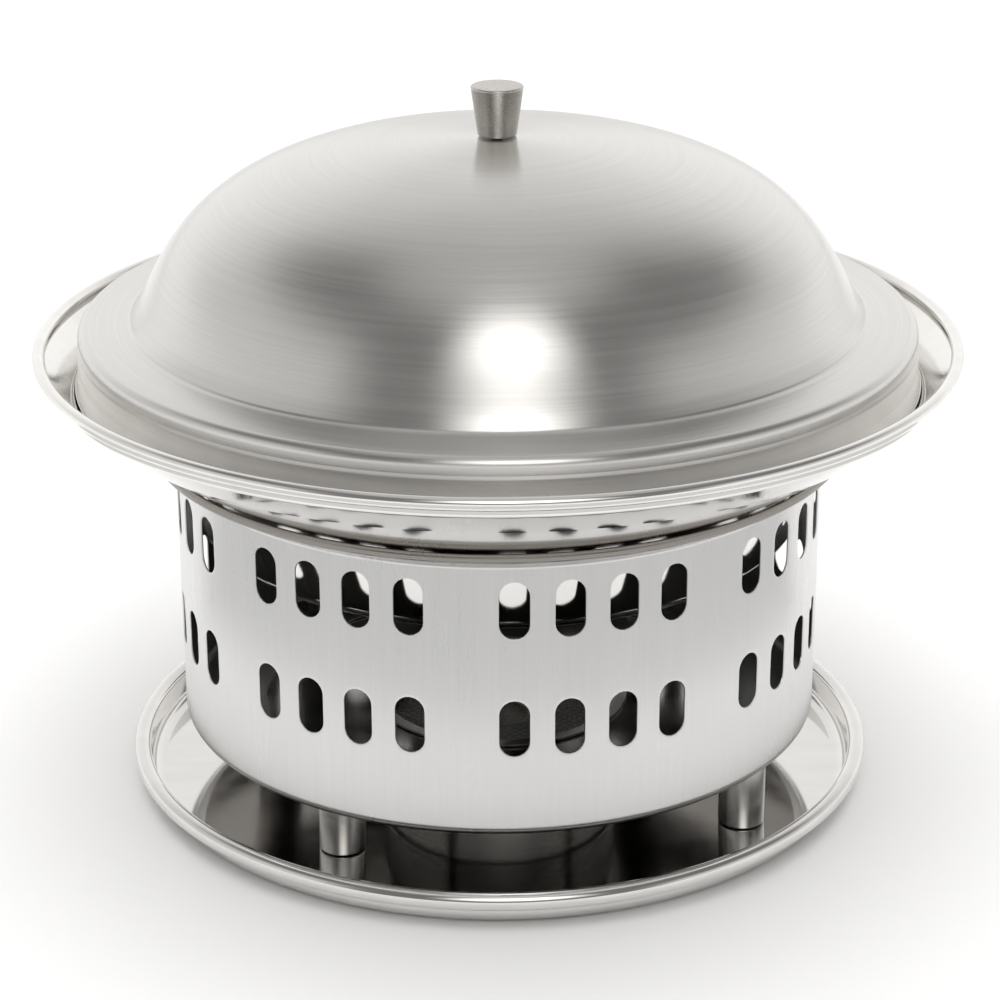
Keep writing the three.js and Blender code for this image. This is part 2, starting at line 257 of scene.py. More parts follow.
def finished_mesh(name, bm, sharp=35):
    """A smooth-shaded mesh with its steep edges kept sharp."""
    bmesh.ops.remove_doubles(bm, verts=bm.verts, dist=1e-7)
    bmesh.ops.recalc_face_normals(bm, faces=bm.faces)
    mesh = bpy.data.meshes.new(name)
    bm.to_mesh(mesh)
    bm.free()
    mesh.shade_smooth()
    mesh.set_sharp_from_angle(angle=radians(sharp))
    return mesh


def bridge(bm, rings):
    """Fills the bands between rings that have the same number of points."""
    for one, two in zip(rings, rings[1:]):
        for i in range(len(one)):
            j = (i + 1) % len(one)
            bm.faces.new((one[i], one[j], two[j], two[i]))


def turn(bm, section, segments, at=(0, 0, 0), closed=False):
    """Turns a section of (radius, height) points about an upright axis through a place."""
    rings = []
    for point in section:
        if point.x < 1e-7:
            rings.append([bm.verts.new((at[0], at[1], at[2] + point.y))])
            continue
        ring = []
        for i in range(segments):
            a = 2 * pi * i / segments
            ring.append(bm.verts.new((
                at[0] + point.x * sin(a), at[1] - point.x * cos(a), at[2] + point.y,
            )))
        rings.append(ring)
    pairs = list(zip(rings, rings[1:]))
    if closed:
        pairs.append((rings[-1], rings[0]))
    for one, two in pairs:
        for i in range(segments):
            j = (i + 1) % segments
            corners = [one[i % len(one)], one[j % len(one)], two[j % len(two)], two[i % len(two)]]
            face = []
            for corner in corners:
                if corner not in face:
                    face.append(corner)
            if len(face) > 2:
                bm.faces.new(face)


def turned_piece(name, section, segments, body, nodes, material, at=(0, 0, 0), closed=True):
    """A piece turned from one closed section."""
    bm = bmesh.new()
    turn(bm, section, segments, at, closed)
    return add_piece(name, finished_mesh(name, bm), body, nodes, material)


# ---------------------------------------------------------------- materials


class Nodes:
    """Short calls for building a node tree: a new material's, or one that is handed in."""

    def __init__(self, name="", tree=None):
        if tree is None:
            self.material = bpy.data.materials.new(name)
            self.material.use_nodes = True
            tree = self.material.node_tree
            self.shader = tree.nodes["Principled BSDF"]
        self.tree = tree

    def add(self, kind, **settings):
        """Adds a node and sets its plain settings."""
        node = self.tree.nodes.new(kind)
        for key, value in settings.items():
            setattr(node, key, value)
        return node

    def feed(self, socket, value):
        """Links an output to a socket, or sets the socket's own value."""
        if isinstance(value, bpy.types.NodeSocket):
            self.tree.links.new(value, socket)
        else:
            socket.default_value = value

    def maths(self, operation, a, b=0.0, c=0.0):
        """A maths node's result."""
        node = self.add("ShaderNodeMath", operation=operation)
        for socket, value in zip(node.inputs, (a, b, c)):
            self.feed(socket, value)
        return node.outputs[0]

    def times(self, a, b):
        """The product of two values."""
        return self.maths("MULTIPLY", a, b)

    def opposite(self, value):
        """1 less a value."""
        return self.maths("SUBTRACT", 1.0, value)

    def blend(self, one, share, two):
        """A share of one value and the rest of another."""
        return self.maths("ADD", self.times(one, share), self.times(two, 1 - share))

    def put(self, name, value):
        """Feeds one of the shader's inputs."""
        self.feed(self.shader.inputs[name], value)

    def place(self):
        """The piece's own coordinates, split into x, y and z."""
        coordinates = self.add("ShaderNodeTexCoord").outputs["Object"]
        split = self.add("ShaderNodeSeparateXYZ")
        self.feed(split.inputs[0], coordinates)
        return coordinates, split.outputs[0], split.outputs[1], split.outputs[2]

    def stretched(self, values, factors):
        """A vector of three values, each times its factor."""
        node = self.add("ShaderNodeCombineXYZ")
        for socket, value, factor in zip(node.inputs, values, factors):
            self.feed(socket, self.times(value, factor))
        return node.outputs[0]

    def noise(self, vector, scale, detail=3.0, roughness=0.55):
        """A noise texture's value."""
        node = self.add("ShaderNodeTexNoise")
        self.feed(node.inputs["Vector"], vector)
        self.feed(node.inputs["Scale"], scale)
        self.feed(node.inputs["Detail"], detail)
        self.feed(node.inputs["Roughness"], roughness)
        return node.outputs[0]

    def between(self, value, low_in, high_in, low_out, high_out):
        """A value carried from one range to another."""
        node = self.add("ShaderNodeMapRange")
        for socket, number in zip(node.inputs, (value, low_in, high_in, low_out, high_out)):
            self.feed(socket, number)
        return node.outputs[0]

    def ease(self, value, start, end):
        """A smooth step from 0 to 1 between two angles in degrees."""
        node = self.add("ShaderNodeMapRange", interpolation_type="SMOOTHSTEP")
        for socket, number in zip(node.inputs, (value, radians(start), radians(end), 0.0, 1.0)):
            self.feed(socket, number)
        return node.outputs[0]

    def mix(self, share, start, end):
        """A number part way from one to another."""
        node = self.add("ShaderNodeMix", data_type="FLOAT")
        for i, number in ((0, share), (2, start), (3, end)):
            self.feed(node.inputs[i], number)
        return node.outputs[0]

    def tint(self, value, dark, pale):
        """A colour between two colours, each a colour or another node's output."""
        node = self.add("ShaderNodeMix", data_type="RGBA")
        self.feed(node.inputs[0], value)
        for i, shade in ((6, dark), (7, pale)):
            self.feed(node.inputs[i], (*shade, 1.0) if isinstance(shade, tuple) else shade)
        return node.outputs[2]

    def bump(self, height, strength, distance, normal=None):
        """A bump's normal."""
        node = self.add("ShaderNodeBump")
        self.feed(node.inputs["Height"], height)
        self.feed(node.inputs["Strength"], strength)
        self.feed(node.inputs["Distance"], distance)
        if normal is not None:
            self.feed(node.inputs["Normal"], normal)
        return node.outputs[0]


def scaled(rgb, by):
    """A colour made darker or paler."""
    return tuple(min(1.0, c * by) for c in rgb)


# How close the fine scratches and the wide streaks of each grain lie along x, y and z. In the
# round grain, z gives way to a height that grows outwards, so flat and upright faces both get it.
GRAINS = {
    "round": ((14.0, 14.0, 2600.0), (9.0, 9.0, 420.0)),
    "upright": ((2400.0, 2400.0, 45.0), (420.0, 420.0, 12.0)),
}
# How dark the inside of the drum is painted, as painted shade.
INSIDE_SHADE_LEVEL = 0.3
# The lip's brown heat tint, darkened further as a painted dark reflection.
TINT_AND_SHADE_LEVEL = (0.46, 0.435, 0.41)


def grained_steel(name, rgb, roughness, grain, spread=0.0, depth=0.000004, mottle=0.05,
                  waviness=0.0, shade_inside=None, tint_and_shade_outside=0.0):
    """Stainless steel with fine scratches along one way.

    grain is "round" for scratches that run around the axis, or "upright" for ones that run
    up and down. spread is the anisotropy, waviness the depth of the sheet's slow unevenness.
    The last two arguments darken the colour: the first gives a radius and a height, inside
    and above which the colour is darkened as painted shade; the second gives a radius outside
    which the colour is browned as a heat tint and darkened further as a painted dark reflection.
    """
    n = Nodes(name)
    spot, x, y, z = n.place()
    radius = n.maths("SQRT", n.maths("ADD", n.times(x, x), n.times(y, y)))
    climb = n.maths("SUBTRACT", radius, z) if grain == "round" else z
    fine, wide = (n.stretched((x, y, climb), factors) for factors in GRAINS[grain])
    scratches = n.noise(fine, 1.0, 2.0)
    streaks = n.noise(wide, 1.0, 3.0)
    clouds = n.noise(spot, 26.0, 3.0)
    both = n.blend(scratches, 0.6, streaks)
    worn = n.between(both, 0.3, 0.7, 0.0, 1.0)
    shade = n.tint(worn, scaled(rgb, 1 - mottle), scaled(rgb, 1 + mottle))
    # Painted shade: inside the given radius and above the given height the colour is darkened, where
    # shade falls inside the drum.
    if shade_inside:
        fade = 0.1 * MM
        outside = n.between(radius, shade_inside[0] - fade, shade_inside[0] + fade, 0.0, 1.0)
        below = n.between(z, shade_inside[1], shade_inside[1] + fade, 1.0, 0.0)
        shade = n.tint(n.maths("MAXIMUM", outside, below), scaled(rgb, INSIDE_SHADE_LEVEL), shade)
    # A brown heat tint, darkened further as a painted dark reflection of the pan's underside, outside
    # the given radius.
    if tint_and_shade_outside:
        fade = 1.5 * MM
        tint_and_shade_colour = tuple(c * by for c, by in zip(rgb, TINT_AND_SHADE_LEVEL))
        shade = n.tint(n.between(radius, tint_and_shade_outside, tint_and_shade_outside + fade, 0.0, 1.0), shade, tint_and_shade_colour)
    n.put("Base Color", shade)
    n.put("Roughness", n.between(n.blend(streaks, 0.55, clouds), 0.3, 0.7,
                                 roughness * 0.82, roughness * 1.18))
    n.put("Metallic", 1.0)
    if spread:
        n.put("Anisotropic", spread)
        n.put("Tangent", n.add("ShaderNodeTangent", direction_type="RADIAL", axis="Z").outputs[0])
        n.put("Anisotropic Rotation", 0.25 if grain == "round" else 0.0)
    swell = n.bump(n.noise(spot, 30.0, 2.0), 1.0, waviness) if waviness else None
    n.put("Normal", n.bump(both, 0.5, depth, swell))
    return n.material


def polished_steel(name, rgb, roughness):
    """Mirror-polished steel: faint pressing waves, wipe marks and a few hairline scratches."""
    n = Nodes(name)
    spot, x, y, z = n.place()
    waves = n.noise(spot, 38.0, 1.0)
    wipes = n.noise(n.stretched((x, y, z), (30.0, 90.0, 60.0)), 1.0, 4.0)
    hair = n.noise(n.stretched((x, y, z), (1700.0, 90.0, 1700.0)), 1.0, 2.0)
    worn = n.between(wipes, 0.35, 0.65, 0.0, 1.0)
    n.put("Base Color", n.tint(worn, scaled(rgb, 0.96), scaled(rgb, 1.02)))
    n.put("Roughness", n.between(n.blend(wipes, 0.7, hair), 0.3, 0.7, roughness * 0.6, roughness * 1.5))
    n.put("Metallic", 1.0)
    swell = n.bump(waves, 1.0, 0.00002)
    n.put("Normal", n.bump(hair, 0.12, 0.000003, swell))
    return n.material


def blasted_steel(name, rgb, roughness):
    """Bead-blasted steel: an even fine grit."""
    n = Nodes(name)
    spot = n.place()[0]
    grit = n.noise(spot, 2600.0, 2.0, 0.7)
    coarse = n.noise(spot, 900.0, 2.0)
    peaks = n.between(grit, 0.3, 0.7, 0.0, 1.0)
    n.put("Base Color", n.tint(peaks, scaled(rgb, 0.85), scaled(rgb, 1.12)))
    n.put("Roughness", n.between(coarse, 0.3, 0.7, roughness * 0.85, roughness * 1.15))
    n.put("Metallic", 1.0)
    n.put("Normal", n.bump(grit, 0.6, 0.00003))
    return n.material


def fibre(name, rgb):
    """Pressed mineral fibre: matted strands with scorched patches."""
    n = Nodes(name)
    spot = n.place()[0]
    strands = n.noise(spot, 1500.0, 5.0, 0.7)
    patches = n.noise(spot, 90.0, 3.0)
    scorch = n.between(n.blend(strands, 0.6, patches), 0.35, 0.62, 0.0, 1.0)
    n.put("Base Color", n.tint(scorch, scaled(rgb, 0.45), rgb))
    n.put("Roughness", 0.95)
    n.put("Normal", n.bump(strands, 0.9, 0.0004))
    return n.material


def floor_paper(name, rgb):
    """Pale seamless paper."""
    n = Nodes(name)
    spot = n.place()[0]
    tooth = n.noise(spot, 120.0, 4.0)
    n.put("Base Color", n.tint(tooth, scaled(rgb, 0.99), rgb))
    n.put("Roughness", 0.8)
    n.put("Specular IOR Level", 0.2)
    return n.material


# ---------------------------------------------------------------- drip tray


class POT_OT_drip_tray(bpy.types.Operator):
    """Presses the drip tray: a flat polished floor, a rounded wall and a rolled rim"""

    bl_idname = "pot.drip_tray"
    bl_label = "Drip tray"

    def execute(self, context):
        sizes, steel = context.scene.pot_sizes, context.scene.pot_steel
        sheet = sizes.tray_sheet
        rim, top = outer_radius("drip_tray"), high("drip_tray").z
        bead = 2.65 * MM
        bead_x, bead_z = rim - bead, top - bead
        wall = bead_x - bead + sheet / 2
        corner = 4.2 * MM
        flat = 60 * MM
        inner = [*path((0, sheet), (flat, sheet)),
                 *arc(wall - corner, sheet / 2 + corner, corner - sheet / 2, -90, 0, 10),
                 *path((wall - sheet / 2, bead_z))]
        roll = arc(bead_x, bead_z, bead, 180, -140, 40)
        lip_inside = arc(bead_x, bead_z, bead - sheet, -140, 170, 32)
        outer = [*path((wall + sheet / 2, bead_z - 1.2 * MM)),
                 *arc(wall - corner, sheet / 2 + corner, corner + sheet / 2, 0, -90, 10),
                 *path((flat, 0), (0, 0))]
        section = [*inner, *roll[1:], *lip_inside, *outer]
        material = polished_steel("tray_polish", tuple(steel.tray_colour), steel.polish_roughness)
        turned_piece("drip_tray_pressing", section, 240, "tray", ["drip_tray"],
                     material, closed=False)
        return {"FINISHED"}


# ---------------------------------------------------------------- stove

# Groups of slots around the drum, slots in a group, and spans along a side of a slot's cell.
GROUPS, PER_GROUP, SPANS = 8, 4, 6
# The drum's lip: the hem's radius, and how far the lip flares outwards.
DRUM_HEM, DRUM_FLARE = 1.3 * MM, 6.7 * MM


def slot_outline(half_width, half_height, grow=0.0):
    """24 points around a slot with round ends, counter-clockwise from the right side's foot.

    They match the border of the slot's cell: six spans to a side.
    """
    radius = half_width + grow
    straight = half_height - half_width
    points = []
    for a in (-30, -15, 0):
        points.append((radius * cos(radians(a)), -straight + radius * sin(radians(a))))
    points.append((radius, 0.0))
    for a in (0, 15, 30, 50, 70, 90, 110, 130, 150, 165, 180):
        points.append((radius * cos(radians(a)), straight + radius * sin(radians(a))))
    points.append((-radius, 0.0))
    for a in (180, 195, 210, 230, 250, 270, 290, 310):
        points.append((radius * cos(radians(a)), -straight + radius * sin(radians(a))))
    return points


def cell_border(half_width, half_height):
    """24 points around a slot's cell, matching slot_outline."""
    right = [(half_width, -half_height + 2 * half_height * i / SPANS) for i in range(SPANS)]
    top = [(half_width - 2 * half_width * i / SPANS, half_height) for i in range(SPANS)]
    left = [(-x, -z) for x, z in right]
    bottom = [(-x, -z) for x, z in top]
    return right + top + left + bottom


def pierce_cell(bm, at_angle, at_height, half_angle, half_height, radius, sheet, slot):
    """Adds one cell of the drum's wall with a slot through it, both faces and the slot's edge."""
    half_width = half_angle * radius
    border = cell_border(half_width, half_height)

    def ring(points, wall):
        made = []
        for x, z in points:
            a = at_angle + x / radius
            made.append(bm.verts.new((wall * sin(a), -wall * cos(a), at_height + z)))
        return made

    def blend(one, two, t):
        return [(a[0] + (b[0] - a[0]) * t, a[1] + (b[1] - a[1]) * t) for a, b in zip(one, two)]

    edge = 0.22 * MM
    near = slot_outline(*slot, grow=1.0 * MM)
    rings = [
        ring(border, radius),
        ring(blend(border, near, 0.5), radius),
        ring(near, radius),
        ring(slot_outline(*slot, grow=edge * 1.3), radius),
        ring(slot_outline(*slot, grow=edge * 0.45), radius - edge * 0.25),
        ring(slot_outline(*slot), radius - edge),
        ring(slot_outline(*slot), radius - sheet + edge * 0.3),
        ring(slot_outline(*slot, grow=edge * 0.3), radius - sheet),
        ring(near, radius - sheet),
        ring(blend(border, near, 0.5), radius - sheet),
        ring(border, radius - sheet),
    ]
    bridge(bm, rings)


def drum_angles(sizes):
    """The drum wall's upright edges, each slot's angle, and a cell's and a gap's width."""
    cell = sizes.slot_pitch
    gap = 2 * pi / GROUPS - PER_GROUP * cell
    edges, slots = [], []
    for g in range(GROUPS):
        start = sizes.slot_phase + g * 2 * pi / GROUPS - PER_GROUP * cell / 2
        for s in range(PER_GROUP):
            slots.append(start + (s + 0.5) * cell)
            edges += [start + (s + i / SPANS) * cell for i in range(SPANS)]
        edges += [start + PER_GROUP * cell + gap * i / SPANS for i in range(SPANS)]
    return edges, slots, cell, gap


def plain_panel(bm, start, gap, middle, half_height, radius):
    """Adds one face of the wall between two groups of slots, in squares."""
    turns = [start + gap * i / SPANS for i in range(SPANS + 1)]
    heights = [middle - half_height + 2 * half_height * k / SPANS for k in range(SPANS + 1)]
    grid = [[bm.verts.new((radius * sin(a), -radius * cos(a), z)) for a in turns] for z in heights]
    for k in range(SPANS):
        for i in range(SPANS):
            bm.faces.new((grid[k][i], grid[k][i + 1], grid[k + 1][i + 1], grid[k + 1][i]))


class POT_OT_stove_drum(bpy.types.Operator):
    """Presses the stove drum: turned-in flange, rounded foot, slotted wall and hemmed, flared lip"""

    bl_idname = "pot.stove_drum"
    bl_label = "Stove drum"

    def execute(self, context):
        sizes, steel = context.scene.pot_sizes, context.scene.pot_steel
        sheet = sizes.sheet
        flange, bend = 25 * MM, 3.2 * MM
        bottom, top, edge = extent("stove_drum")
        wall = edge - DRUM_HEM - DRUM_FLARE + sheet / 2
        lip_x = wall - sheet / 2
        hem_x, hem_z = lip_x + DRUM_FLARE, top - DRUM_HEM - 0.4 * MM
        edges, slots, cell, gap = drum_angles(sizes)
        slot = (sizes.slot_width / 2, sizes.slot_height / 2)
        half_cell = slot[1] + 2.6 * MM
        rows = (bottom + sizes.lower_slots, top - sizes.upper_slots)
        levels = [bottom + sheet / 2 + bend, rows[0] - half_cell, rows[0] + half_cell,
                  rows[1] - half_cell, rows[1] + half_cell]
        bm = bmesh.new()

        def strip(section):
            bridge(bm, [[bm.verts.new((p.x * sin(a), -p.x * cos(a), p.y)) for a in edges]
                        for p in section])

        middle_x = lip_x - bend
        foot_z = bottom + sheet / 2 + bend
        inner_edge, half_way = wall - flange, wall - flange * 0.6
        strip([*path((inner_edge, bottom), (half_way, bottom)),
               *arc(middle_x, foot_z, bend + sheet / 2, -90, 0, 12)])
        strip([*reversed(arc(middle_x, foot_z, bend - sheet / 2, -90, 0, 12)),
               *path((half_way, bottom + sheet), (inner_edge, bottom + sheet), (inner_edge, bottom))])
        lip_middle = filleted([(lip_x, levels[4] + 0.2 * MM), (lip_x, hem_z - DRUM_FLARE * 0.75),
                               (hem_x, hem_z)], [8.0 * MM], 12)
        lip_in, lip_out = sheet_section(lip_middle, sheet)
        hem_ring = arc(hem_x, hem_z, DRUM_HEM, -95, 175, 20)
        strip([*path((wall, levels[4])), *lip_out[:-1], *hem_ring, *reversed(lip_in[:-1]),
               *path((wall - sheet, levels[4]))])
        for z0, z1 in (levels[0:2], levels[2:4]):
            middle = (z0 + z1) / 2
            strip(path((wall, z0), (wall, middle), (wall, z1)))
            strip(path((wall - sheet, z1), (wall - sheet, middle), (wall - sheet, z0)))
        for row in rows:
            for a in slots:
                pierce_cell(bm, a, row, cell / 2, half_cell, wall, sheet, slot)
        for row in rows:
            for last in slots[PER_GROUP - 1::PER_GROUP]:
                for radius in (wall, wall - sheet):
                    plain_panel(bm, last + cell / 2, gap, row, half_cell, radius)
        # The drum's inside is darkened as painted shade, and its lip is browned as a heat tint and
        # darkened further as a painted dark reflection.
        material = grained_steel("drum_satin", tuple(steel.drum_colour), steel.drum_roughness, "upright",
                                 spread=0.4, depth=0.000003, mottle=0.03, waviness=0.00006,
                                 shade_inside=(lip_x, bottom + sheet / 2), tint_and_shade_outside=wall + 3.5 * MM)
        add_piece("stove_drum_pressing", finished_mesh("stove_drum_pressing", bm), "stove",
                  ["stove_drum"], material)
        return {"FINISHED"}


class POT_OT_base_plate(bpy.types.Operator):
    """Cuts the stove's base plate, with the burner's hole in its middle"""

    bl_idname = "pot.base_plate"
    bl_label = "Base plate"

    def execute(self, context):
        steel = context.scene.pot_steel
        bottom, top, edge = extent("stove_base_plate")
        hole, half_way = 38 * MM, 70 * MM
        ease = 0.15 * MM
        section = path((hole, bottom + ease), (hole + ease, bottom), (half_way, bottom),
                       (edge - ease, bottom), (edge, bottom + ease), (edge, top - ease),
                       (edge - ease, top), (half_way, top), (hole + ease, top), (hole, top - ease))
        # The plate's dark colour is painted shade for the inside of the drum.
        material = polished_steel("plate_polish_painted_shade", tuple(steel.plate_shade_colour), 0.12)
        turned_piece("stove_base_plate_disc", section, 192, "stove", ["stove_base_plate"],
                     material)
        return {"FINISHED"}


class POT_OT_feet(bpy.types.Operator):
    """Turns the four feet, with a polished side and eased edges"""

    bl_idname = "pot.feet"
    bl_label = "Feet"

    def execute(self, context):
        steel = context.scene.pot_steel
        material = grained_steel("foot_turned", tuple(steel.foot_colour), 0.24, "round", spread=0.9,
                                 depth=0.000003)
        ease, bore, depth = 0.5 * MM, 2.3 * MM, 9.6 * MM
        for i in range(1, 5):
            node = f"foot_{i}"
            base, top, radius = extent(node)
            mid = centre(node)
            section = [*path((0, base), (radius - ease * 2, base)),
                       *arc(radius - ease, base + ease, ease, -90, 0, 5),
                       *arc(radius - ease * 0.6, top - ease * 0.6, ease * 0.6, 0, 90, 4),
                       *path((bore + 0.9 * MM, top), (bore, top - 0.5 * MM),
                             (bore, top - depth), (0, top - depth - 0.3 * MM))]
            turned_piece(f"turned_foot_{i}", section, 64, "stove", [node], material,
                         at=(mid.x, mid.y, 0), closed=False)
        return {"FINISHED"}


# ---------------------------------------------------------------- fasteners


def washer_piece(name, node, body, material, hole):
    """A flat washer with eased edges."""
    base, top, outside = extent(node)
    mid, ease = centre(node), 0.15 * MM
    section = path((hole, base), (outside - ease, base), (outside, base + ease), (outside, top - ease),
                   (outside - ease, top), (hole + ease, top), (hole, top - ease))
    return turned_piece(name, section, 48, body, [node], material,
                        at=(mid.x, mid.y, 0))


def screw_piece(name, node, body, material, head_up, shank, head_height):
    """A pan-head screw with a hexagon socket and a rolled thread."""
    base, top, head_radius = extent(node)
    mid, reach = centre(node), top - base
    socket, pitch, root, tip = shank * 0.65, shank * 0.35, shank * 0.85, 0.5 * MM
    under_head, neck = reach - head_height, reach - head_height - 0.4 * MM
    section = path((0, 0), (root * 0.6, 0), (root, tip))
    z = tip
    while z + pitch < neck:
        section += path((shank, z + pitch * 0.5), (root, z + pitch))
        z += pitch
    side, round_off = reach - head_height * 0.55, head_height * 0.55
    section += path((shank, neck), (shank, under_head), (head_radius, under_head), (head_radius, side))
    section += [Vector((head_radius * cos(radians(a)) * 0.98, side + round_off * sin(radians(a))))
                for a in (20, 40, 55)]
    section += path((socket, reach), (socket, reach - head_height * 0.6), (0, reach - head_height * 0.7))
    bm = bmesh.new()
    turn(bm, section, 48)
    for vertex in bm.verts:
        off_axis = hypot(vertex.co.x, vertex.co.y)
        if abs(off_axis - socket) < 1e-6 and vertex.co.z > reach - head_height * 0.65:
            sixth = (atan2(vertex.co.y, vertex.co.x) + pi / 6) % (pi / 3) - pi / 6
            vertex.co.x *= cos(pi / 6) / cos(sixth)
            vertex.co.y *= cos(pi / 6) / cos(sixth)
    if not head_up:
        bmesh.ops.rotate(bm, verts=bm.verts, matrix=Matrix.Rotation(pi, 3, "X"))
        bmesh.ops.translate(bm, verts=bm.verts, vec=(0, 0, reach))
    bmesh.ops.translate(bm, verts=bm.verts, vec=(mid.x, mid.y, base))
    return add_piece(name, finished_mesh(name, bm), body, [node], material)


class POT_OT_fasteners(bpy.types.Operator):
    """Makes the foot screws and their washers, and the knob's screw and washer"""

    bl_idname = "pot.fasteners"
    bl_label = "Fasteners"

    def execute(self, context):
        steel = context.scene.pot_steel
        material = grained_steel("fastener_plain", tuple(steel.fastener_colour), 0.28, "round")
        for i in range(1, 5):
            washer_piece(f"foot_washer_disc_{i}", f"foot_washer_{i}", "stove", material, 2.35 * MM)
            screw_piece(f"foot_screw_body_{i}", f"foot_screw_{i}", "stove", material, True,
                        2.0 * MM, 2.2 * MM)
        washer_piece("knob_washer_disc", "lid_knob_washer", "lid_body", material, 1.85 * MM)
        screw_piece("knob_screw_body", "lid_knob_screw", "lid_body", material, False,
                    1.5 * MM, 1.9 * MM)
        return {"FINISHED"}


# ---------------------------------------------------------------- burner


class POT_OT_burner(bpy.types.Operator):
    """Makes the fuel cup, its wick pad, the woven gauze and the ring that holds it"""

    bl_idname = "pot.burner"
    bl_label = "Burner"

    def execute(self, context):
        sizes, steel = context.scene.pot_sizes, context.scene.pot_steel
        satin = grained_steel("burner_satin", tuple(steel.burner_colour), 0.26, "round", spread=0.85)
        self.cup(sizes.cup_sheet, satin)
        self.ring(satin)
        self.pad(fibre("wick_fibre", tuple(steel.fibre_colour)))
        self.gauze(grained_steel("gauze_wire", scaled(tuple(steel.burner_colour), 0.8), 0.35, "round"))
        return {"FINISHED"}

    def cup(self, sheet, material):
        """The cup: rounded foot, straight wall and a flat flange."""
        floor, top, rim = extent("burner_cup")
        wall, bend = 36.8 * MM - sheet / 2, 3.8 * MM
        low_z, high_z = floor + sheet / 2, top - sheet / 2
        middle = filleted([(0, low_z), (wall, low_z), (wall, high_z), (rim - 0.3 * MM, high_z)],
                          [bend, 0.9 * MM], 8)
        inner, outer = sheet_section(middle, sheet)
        section = [*outer, *reversed(inner)]
        turned_piece("burner_cup_pressing", section, 144, "burner", ["burner_cup"],
                     material, closed=False)

    def ring(self, material):
        """The ring that holds the gauze down, with rounded edges."""
        base, top, outside = extent("burner_ring")
        inside, ease = outside - 2.2 * MM, 0.5 * MM
        corners = ((inside + ease, base + ease), (outside - ease, base + ease),
                   (outside - ease, top - ease), (inside + ease, top - ease))
        section = []
        for i, (x, z) in enumerate(corners):
            section += arc(x, z, ease, 180 + 90 * i, 270 + 90 * i, 4)
        turned_piece("burner_clamp_ring", section, 128, "burner", ["burner_ring"],
                     material)

    def pad(self, material):
        """The fibre pad, with an uneven matted top."""
        base, top, edge = extent("burner_wick_pad")
        mat, spans = 0.5 * MM, 24
        section = path((0, base), (edge * 0.5, base), (edge, base), (edge, (base + top) / 2),
                       (edge - 0.4 * MM, top - mat))
        section += [Vector((edge * k / spans, top - mat)) for k in range(spans - 1, -1, -1)]
        bm = bmesh.new()
        turn(bm, section, 96)
        for vertex in bm.verts:
            if vertex.co.z > top - mat - 0.1 * MM:
                x, y = vertex.co.x, vertex.co.y
                lift = (sin(x * 1900) * sin(y * 2300 + 1.3) + 0.6 * sin(x * 4100 + y * 3700)
                        + 0.4 * sin(y * 5900 - x * 900))
                vertex.co.z += 0.2 * MM * max(-1.0, min(1.0, lift))
        add_piece("burner_wick_fibre", finished_mesh("burner_wick_fibre", bm, 80), "burner",
                  ["burner_wick_pad"], material)

    def gauze(self, material):
        """Plain-woven wire, cut round, with an eyelet around the opening in its middle."""
        base, top, edge = extent("burner_gauze")
        level, wire, pitch, eye = (base + top) / 2, 0.2 * MM, 1.6 * MM, 9 * MM
        bm = bmesh.new()
        reach = int((edge - wire) / pitch)

        def run(fixed, start, end, along_x, phase):
            steps = max(2, int((end - start) / (pitch / 2)))
            rings = []
            for i in range(steps + 1):
                t = start + (end - start) * i / steps
                lift = wire * 0.95 * cos(pi * t / pitch + phase)
                ring = []
                for k in range(4):
                    a = pi / 4 + k * pi / 2
                    across, up = fixed + wire * cos(a), level + lift + wire * sin(a)
                    ring.append(bm.verts.new((t, across, up) if along_x else (across, t, up)))
                rings.append(ring)
            bridge(bm, rings)
            bm.faces.new(rings[0])
            bm.faces.new(tuple(reversed(rings[-1])))

        for along_x in (True, False):
            for i in range(-reach, reach + 1):
                fixed = i * pitch
                far = sqrt(max(0.0, (edge - wire) ** 2 - fixed ** 2))
                if far < pitch:
                    continue
                phase = pi * (i % 2) + (0 if along_x else pi)
                if abs(fixed) < eye:
                    close = sqrt(eye ** 2 - fixed ** 2)
                    run(fixed, -far, -close, along_x, phase)
                    run(fixed, close, far, along_x, phase)
                else:
                    run(fixed, -far, far, along_x, phase)
        turn(bm, arc(eye + 0.35 * MM, level, 0.39 * MM, 0, 330, 11), 64, closed=True)
        add_piece("burner_gauze_weave", finished_mesh("burner_gauze_weave", bm, 50), "burner",
                  ["burner_gauze"], material)


# ---------------------------------------------------------------- pan


